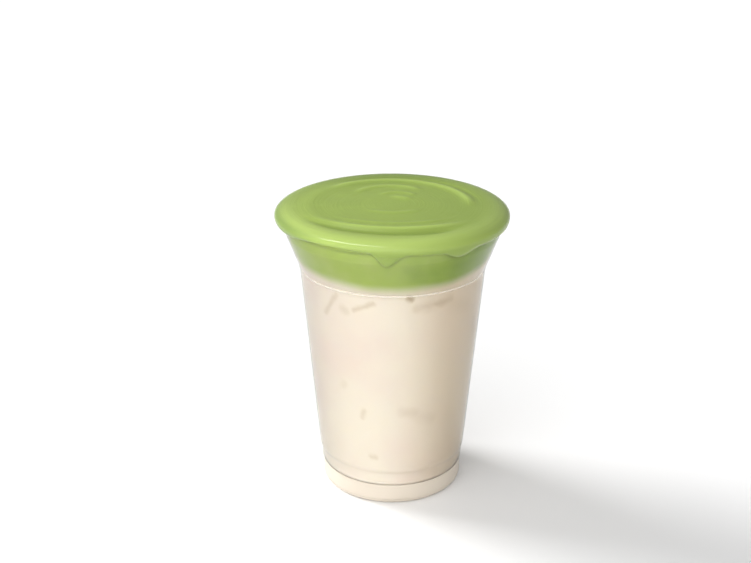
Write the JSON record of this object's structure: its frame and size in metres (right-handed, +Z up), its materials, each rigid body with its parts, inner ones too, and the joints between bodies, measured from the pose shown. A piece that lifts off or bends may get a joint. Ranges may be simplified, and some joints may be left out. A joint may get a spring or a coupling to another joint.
{
  "type": "iced matcha latte",
  "caption": "Iced milk drink in a clear flared plastic cup, topped with a smooth swirled cap of green matcha cream that folds over the rim and drips down the front.",
  "frame": {"origin": "centre of the cup's foot ring, on the surface that the cup stands on", "axes": "+Z up along the cup's axis, -Y toward the front, where the cream drips down the wall"},
  "size_m": [0.105, 0.1045, 0.1349],
  "materials": {
    "clear_plastic": "clear glossy thin-walled plastic",
    "milk": "opaque milky drink, cream coloured",
    "matcha_cream": "soft glossy whipped cream, yellow green"
  },
  "bodies": {
    "root": {"cup": "clear_plastic", "milk": "milk", "matcha_cream": "matcha_cream"}
  },
  "joints": []
}
